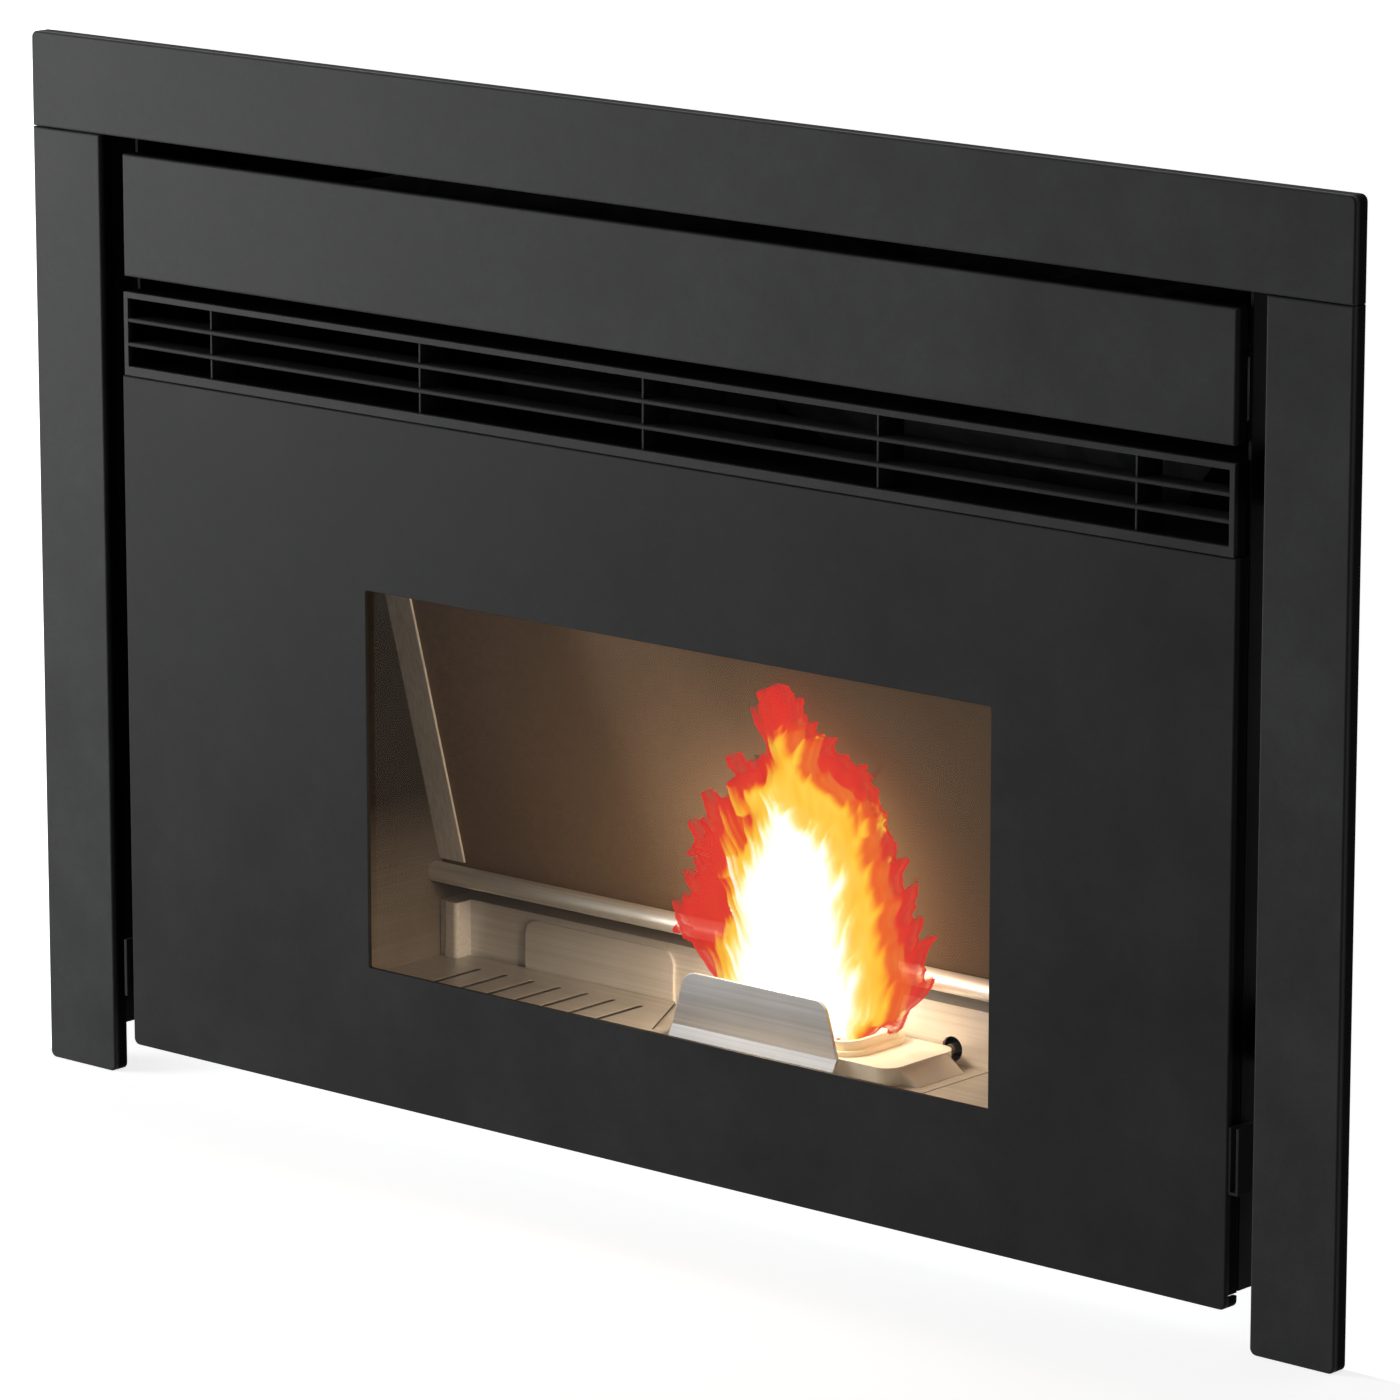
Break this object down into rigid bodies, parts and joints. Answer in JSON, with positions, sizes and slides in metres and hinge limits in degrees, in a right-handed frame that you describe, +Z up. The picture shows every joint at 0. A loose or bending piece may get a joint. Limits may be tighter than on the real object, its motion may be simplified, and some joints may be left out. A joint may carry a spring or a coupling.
{
  "type": "fireplace insert",
  "caption": "Pellet-burning fireplace insert: folded steel surround, glazed side-hung door, warm-air grille, pellet drawer, burner chamber, feed screw and fans in a steel casing.",
  "frame": {"origin": "under the middle of the whole part, on the hearth", "axes": "+X to the right as seen from the room, +Y from the surround back into the chimney, +Z up"},
  "size_m": [0.94, 0.567, 0.611],
  "materials": {
    "black_paint": "fine satin dark grey heat-proof paint",
    "casing_steel": "plain grey sheet steel",
    "hinge_steel": "turned pin",
    "stainless_plate": "brushed, slightly heat-tinted plate",
    "polished_steel": "polished stainless sheet",
    "fireproof_board": "matt fireproof board",
    "cast_iron": "as cast, dark",
    "smoke_steel": "zinc-coated sheet",
    "motor_shell": "dull grey shell",
    "ceramic_glass": "clear heat-proof glass",
    "black_tape": "flat black sealing tape",
    "seal_rope": "knitted black rope",
    "sensor_rod": "plain rod",
    "black_plastic": "moulded, fine grain"
  },
  "bodies": {
    "structure": {"surround_header": "black_paint", "surround_left_leg": "black_paint", "surround_right_leg": "black_paint", "surround_frame": "black_paint", "air_grille_frame": "black_paint", "air_grille_blades": "black_paint", "door_side_tab": "black_paint", "casing_left": "casing_steel", "casing_right": "casing_steel", "casing_back": "casing_steel", "casing_base": "casing_steel", "casing_top": "casing_steel", "base_plinth": "casing_steel", "hopper": "casing_steel", "drawer_rails": "casing_steel", "control_box": "casing_steel", "room_fan_housing": "casing_steel", "chamber_mouth_frame": "casing_steel", "door_hinge_lugs": "casing_steel", "latch_clip": "casing_steel", "chamber_wrapper": "stainless_plate", "chamber_rear_wall": "stainless_plate", "lower_wall": "stainless_plate", "floor_frame": "stainless_plate", "burner_plate": "stainless_plate", "side_floor_plate": "stainless_plate", "air_tube": "stainless_plate", "auger_tube": "stainless_plate", "ash_pan": "stainless_plate", "baffle_strips": "polished_steel", "burner_shield": "polished_steel", "baffle_panel": "fireproof_board", "pot_holder": "cast_iron", "smoke_fan_housing": "smoke_steel", "flue_spigot": "smoke_steel", "air_intake_spigot": "smoke_steel", "auger_motor": "motor_shell", "smoke_fan_motor": "motor_shell", "room_fan_motor": "motor_shell", "flame_sensor": "sensor_rod", "igniter": "sensor_rod", "mains_inlet": "black_plastic"},
    "door": {"door_panel": "black_paint", "glass_tape": "black_tape", "door_glass": "ceramic_glass", "door_inner_frame": "casing_steel", "door_seal": "seal_rope", "door_hinge_ears": "casing_steel", "door_hinge_pins": "hinge_steel", "door_pull_bracket": "black_paint", "latch_tongue": "casing_steel"},
    "pellet_drawer": {"drawer_front": "black_paint", "drawer_tray": "casing_steel"},
    "burn_pot": {"burn_pot": "stainless_plate"},
    "grate": {"slotted_grate": "stainless_plate"},
    "feed_screw": {"auger_screw": "stainless_plate"},
    "room_fan": {"room_fan_wheel": "smoke_steel"},
    "smoke_fan": {"smoke_fan_wheel": "smoke_steel"},
    "rocker": {"switch_rocker": "black_plastic"}
  },
  "joints": [
    {"name": "door_swing", "type": "hinge", "parent": "structure", "child": "door", "pos_m": [-0.397, -0.2765, 0.2], "axis": [0, 0, -1], "range_deg": [0, 95]},
    {"name": "drawer_slide", "type": "slide", "parent": "structure", "child": "pellet_drawer", "axis": [0, -1, 0], "range_m": [0, 0.18]},
    {"name": "pot_lift", "type": "slide", "parent": "structure", "child": "burn_pot", "axis": [0, 0, 1], "range_m": [0, 0.02]},
    {"name": "grate_lift", "type": "slide", "parent": "structure", "child": "grate", "axis": [0, 0, 1], "range_m": [0, 0.035]},
    {"name": "feed_screw_spin", "type": "hinge", "parent": "structure", "child": "feed_screw", "pos_m": [0.023, 0.1365, 0.195], "axis": [0, -0.8829, 0.4695], "continuous": true},
    {"name": "room_fan_spin", "type": "hinge", "parent": "structure", "child": "room_fan", "pos_m": [-0.18, 0.0165, 0.092], "axis": [1, 0, 0], "continuous": true},
    {"name": "smoke_fan_spin", "type": "hinge", "parent": "structure", "child": "smoke_fan", "pos_m": [0.2, 0.0765, 0.13], "axis": [0, 1, 0], "continuous": true},
    {"name": "switch_rock", "type": "hinge", "parent": "structure", "child": "rocker", "pos_m": [-0.33, 0.2376, 0.105], "axis": [1, 0, 0], "range_deg": [0, 16]}
  ]
}
